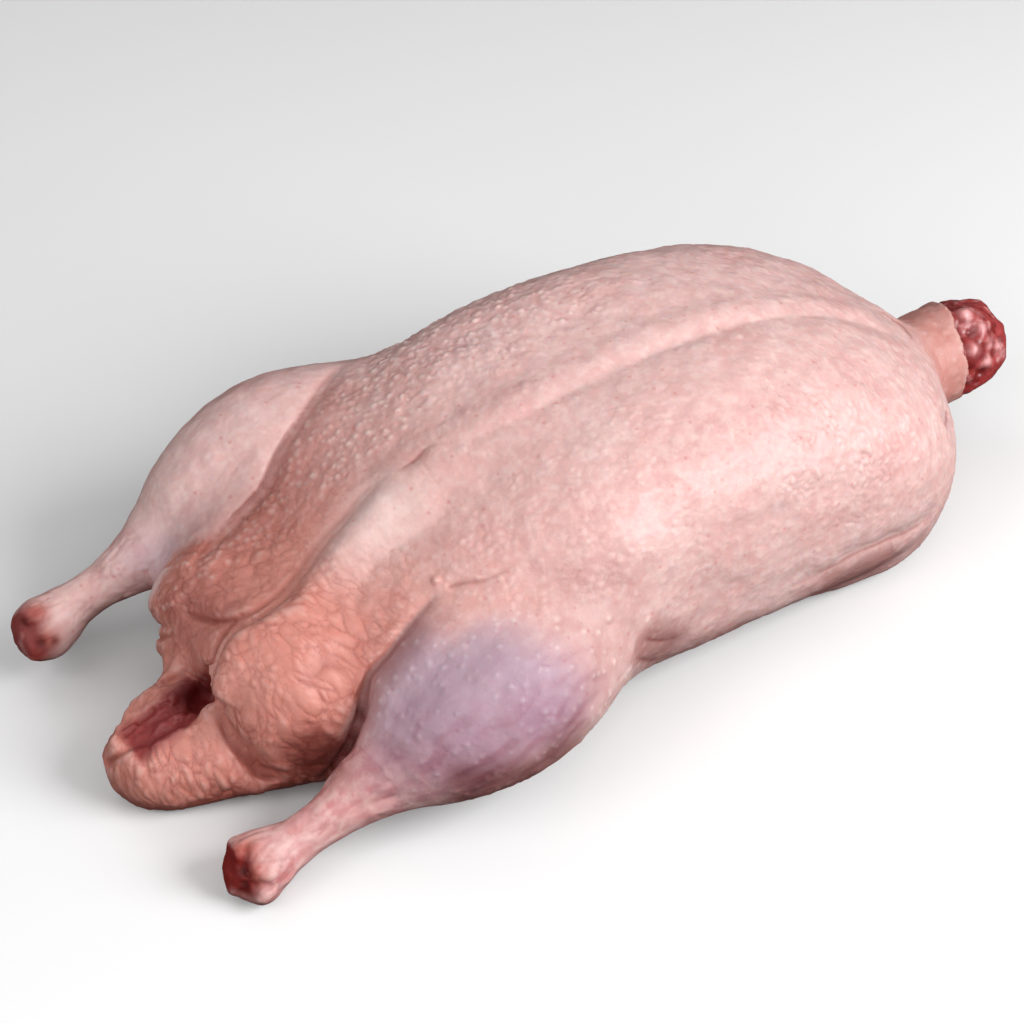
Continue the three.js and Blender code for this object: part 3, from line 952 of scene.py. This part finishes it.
def skin_material():
    material = bpy.data.materials.new("duck_skin")
    n = Nodes(material)
    where = n.add("ShaderNodeTexCoord").outputs["Object"]
    blotch = n.noise(where, 38.0, 4.0)
    mottle = n.noise(where, 210.0, 3.0)
    speckle = n.noise(where, 330.0, 3.0)
    grain = n.noise(where, 700.0, 2.0)

    colour = n.mix(n.between(blotch, 0.35, 0.7, 0.0, 0.5), SKIN_PINK, SKIN_BLUSH)
    colour = n.mix(n.attribute("fat"), colour, SKIN_ORANGE)
    colour = n.mix(n.attribute("shank"), colour, SHANK_RED)
    # Pale is partly the skin's own paler band and feather bumps, and partly painted highlight on crests
    # and painted light on the far calf.
    colour = n.mix(n.attribute("pale"), colour, SKIN_PALE)
    bare = n.math("SUBTRACT", 1.0, n.attribute("fat"), clamp=True)
    blush = n.math("MULTIPLY", n.between(mottle, 0.4, 0.7, 0.0, 0.35), bare)
    colour = n.mix(blush, colour, SKIN_PALE)
    colour = n.mix(n.between(speckle, 0.55, 0.75, 0.0, 0.3), colour, SKIN_BLUSH)
    pore = n.add("ShaderNodeTexVoronoi", inputs={"Vector": where, "Scale": 150.0}).outputs["Distance"]
    colour = n.mix(n.between(pore, 0.17, 0.07, 0.0, 0.4), colour, PORE_RED)
    colour = n.mix(n.attribute("mauve"), colour, SKIN_MAUVE)
    colour = n.mix(n.attribute("plum"), colour, SKIN_PLUM)
    colour = n.mix(n.attribute("rim"), colour, HOCK_ORANGE)
    # Painted shade along shaded edges and places, and a little over the neck.
    colour = n.mix(n.attribute("under"), colour, PAINTED_SHADE_TINT, "MULTIPLY")
    # Painted shade in wrinkle valleys and crease bottoms.
    colour = n.mix(n.attribute("groove"), colour, GROOVE_SHADE_TINT, "MULTIPLY")
    # Painted shade: darker where the bird hides the sky from a point.
    colour = n.mix(n.math("MULTIPLY", n.attribute("shade"), 0.75), colour, OCCLUSION_SHADE_TINT, "MULTIPLY")
    flesh = n.mix(n.attribute("gristle"), FLESH_RED, FLESH_PALE)
    colour = n.mix(n.attribute("vent"), colour, VENT_RED)
    colour = n.mix(n.attribute("hock"), colour, HOCK_BROWN)
    colour = n.mix(n.attribute("flesh"), colour, flesh)
    # Painted shade in pits and hollows.
    colour = n.mix(n.attribute("pit"), colour, PIT_SHADE_TINT, "MULTIPLY")

    roughness = n.between(mottle, 0.3, 0.7, 0.43, 0.58)
    roughness = n.math("SUBTRACT", roughness, n.math("MULTIPLY", n.attribute("flesh"), 0.2))
    roughness = n.math("ADD", roughness, n.math("MULTIPLY", n.attribute("hock"), 0.25))
    fine = n.add("ShaderNodeBump", inputs={"Strength": 0.15, "Distance": 0.0006, "Height": grain})
    broad = n.add(
        "ShaderNodeBump",
        inputs={
            "Strength": 0.25, "Distance": 0.0012, "Height": mottle, "Normal": fine.outputs["Normal"],
        },
    )
    shader = n.add(
        "ShaderNodeBsdfPrincipled",
        inputs={
            "Base Color": colour,
            "Roughness": roughness,
            "Normal": broad.outputs["Normal"],
            "Subsurface Weight": 0.25,
            "Subsurface Radius": (1.0, 0.35, 0.2),
            "Subsurface Scale": 0.004,
            "Specular IOR Level": 0.42,
            "Coat Weight": 0.06,
            "Coat Roughness": 0.18,
        },
    )
    n.end(shader)
    return material


def colours(skin, regions, marks):
    """The shares that the material mixes its colours by."""
    r = regions
    tree = skin.tree()
    points = skin.points
    hollow = ((skin.ring(points) - points) * skin.normals).sum(1)
    for _ in range(2):
        hollow = skin.ring(hollow)
    # Painted highlight: convex crests are made paler.
    crest_highlight = smooth(0.2, 1.3, -hollow / np.percentile(np.abs(hollow), 98))
    blue = cover(points, seen(tree, NEAR_MAUVE), 14) ** 1.2 * r.left_leg
    # Painted light: the far calf is made paler.
    painted_light_far_calf = r.right_leg * smooth(0.3, 0.6, r.right_along) * (1 - r.hock)
    plum = cover(points, seen(tree, NEAR_PLUM), 13) * r.left_leg
    along_leg = stretched(points, SHANK_WAY, 5.0, 4.5, 171, 0.5)
    streak = smooth(-0.1, 0.6, noise(along_leg, 1.0, 173))
    blue = np.maximum(blue, 0.5 * spot(points, seen(tree, FAR_MAUVE), 11) * r.right_leg)
    return {
        "fat": np.maximum((0.22 * r.belly + 0.64 * r.rump) * (1 - 0.75 * r.band), 0.6 * r.neck),
        "mauve": 0.7 * blue,
        "shank": r.shank * (0.52 + 0.48 * streak) * (1 - 0.1 * r.right_leg),
        "plum": 0.75 * plum * (0.5 + 0.5 * streak),
        "rim": 0.85 * r.rim,
        # Painted shade along shaded edges and places, and a little over the neck.
        "under": r.painted_shade,
        # Partly the skin's own paler band and bumps, partly painted highlight on crests and painted
        # light on the far calf.
        "pale": np.clip(0.2 * crest_highlight + 0.52 * r.band + 0.4 * painted_light_far_calf + marks["pale"], 0, 1),
        # Painted shade in the valleys of wrinkles and creases.
        "groove": 0.7 * marks["groove"],
        # Painted shade from how hidden each point is from the sky.
        "shade": smooth(0.25, 0.85, r.shade),
        "flesh": r.flesh,
        "gristle": marks["gristle"],
        "vent": 0.9 * r.vent,
        "hock": r.hock,
        # Painted shade in pits and hollows.
        "pit": np.maximum(marks["pit"], r.pit),
    }


def show(name, data):
    """Puts a mesh, a lamp or a camera into the scene."""
    piece = bpy.data.objects.new(name, data)
    bpy.context.scene.collection.objects.link(piece)
    return piece


def build(skin, shares):
    """The bird's piece, with the shares as attributes of its points."""
    mesh = bpy.data.meshes.new("duck_skin")
    mesh.vertices.add(len(skin.points))
    mesh.vertices.foreach_set("co", (skin.points * MM).ravel())
    mesh.loops.add(skin.triangles.size)
    mesh.loops.foreach_set("vertex_index", skin.triangles.ravel())
    mesh.polygons.add(len(skin.triangles))
    mesh.polygons.foreach_set("loop_start", np.arange(0, skin.triangles.size, 3))
    mesh.polygons.foreach_set("use_smooth", np.ones(len(skin.triangles), bool))
    mesh.update(calc_edges=True)
    for name, share in shares.items():
        attribute = mesh.attributes.new(name, "FLOAT", "POINT")
        attribute.data.foreach_set("value", np.clip(share, 0, 1).astype(np.float32))
    return show("duck_skin", mesh)


# The stage.


def floor():
    mesh = bpy.data.meshes.new("floor")
    half = 4.0
    corners = [(-half, -half, 0), (half, -half, 0), (half, half, 0), (-half, half, 0)]
    mesh.from_pydata(corners, [], [(0, 1, 2, 3)])
    piece = show("floor", mesh)
    material = bpy.data.materials.new("floor")
    n = Nodes(material)
    where = n.add("ShaderNodeTexCoord").outputs["Object"]
    tone = n.mix(n.noise(where, 3.0), (0.93, 0.93, 0.93, 1), (0.95, 0.95, 0.95, 1))
    shader = n.add("ShaderNodeBsdfPrincipled", inputs={"Base Color": tone, "Roughness": 0.9})
    n.end(shader)
    mesh.materials.append(material)
    piece.visible_diffuse = False
    piece.visible_glossy = False


def lamp(name, azimuth, elevation, size, watts, distance=1.6):
    """A round soft lamp that looks at the bird's middle from this direction."""
    light = bpy.data.lights.new(name, "AREA")
    light.shape = "DISK"
    light.size = size
    light.energy = watts
    a, e = math.radians(azimuth), math.radians(elevation)
    way = Vector((math.cos(a) * math.cos(e), math.sin(a) * math.cos(e), math.sin(e)))
    piece = show(name, light)
    piece.location = Vector((0, 0, 0.05)) + distance * way
    piece.rotation_euler = (-way).to_track_quat("-Z", "Y").to_euler()


def lights():
    lamp("key", -56, 31, 1.2, 30)
    lamp("front", -75, 60, 1.0, 2)
    lamp("back", 104, 52, 1.0, 2.5)
    lamp("side", 184, 38, 1.0, 6)
    lamp("left", -135, 28, 1.0, 6)
    world = bpy.data.worlds.new("studio")
    n = Nodes(world)
    way = n.add("ShaderNodeTexCoord").outputs["Generated"]
    up = n.add("ShaderNodeSeparateXYZ", inputs={"Vector": way}).outputs["Z"]
    tone = n.mix(n.between(up, -0.15, 0.25), (0.25, 0.2, 0.19, 1), (1, 1, 1, 1))
    sky = n.add("ShaderNodeBackground", inputs={"Color": tone, "Strength": 0.14})
    n.end(sky, "ShaderNodeOutputWorld")
    bpy.context.scene.world = world
    bpy.context.scene.view_settings.view_transform = "Standard"


def camera():
    right, up, back = camera_axes()
    eye = (LOOKS_AT + back * CAMERA_DISTANCE) * MM
    data = bpy.data.cameras.new("camera")
    data.sensor_width = SENSOR
    data.lens = FOCAL_PIXELS / IMAGE_WIDTH * SENSOR
    piece = show("camera", data)
    turn = Matrix(np.stack([right, up, back], 1).tolist())
    piece.matrix_world = Matrix.Translation(Vector(eye)) @ turn.to_4x4()
    bpy.context.scene.camera = piece


MARKS = ("height", "groove", "pale", "gristle", "pit")


def main():
    skin = skin_of("duck").finer()
    fill_hollows(skin, FILLS)
    skin = skin.finer()
    sculpt_folds(skin)
    # How hidden each point is from the sky, painted later into the colour as shade.
    shade = covered(skin)
    for _ in range(FINE_ROUNDS):
        finer = skin.finer()
        shade = np.concatenate([shade, shade[skin.edges].mean(1)])
        skin = finer
    for _ in range(3):
        shade = skin.ring(shade)
    marks = {name: np.zeros(len(skin.points)) for name in MARKS}
    sculpt_creases(skin, marks)
    regions = Regions(skin, shade)
    sculpt_wrinkles(skin, regions, marks)
    sculpt_flesh(skin, regions, marks)
    piece = build(skin, colours(skin, regions, marks))
    piece.data.materials.append(skin_material())
    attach(piece, "root")
    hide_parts("duck")
    floor()
    lights()
    camera()


main()
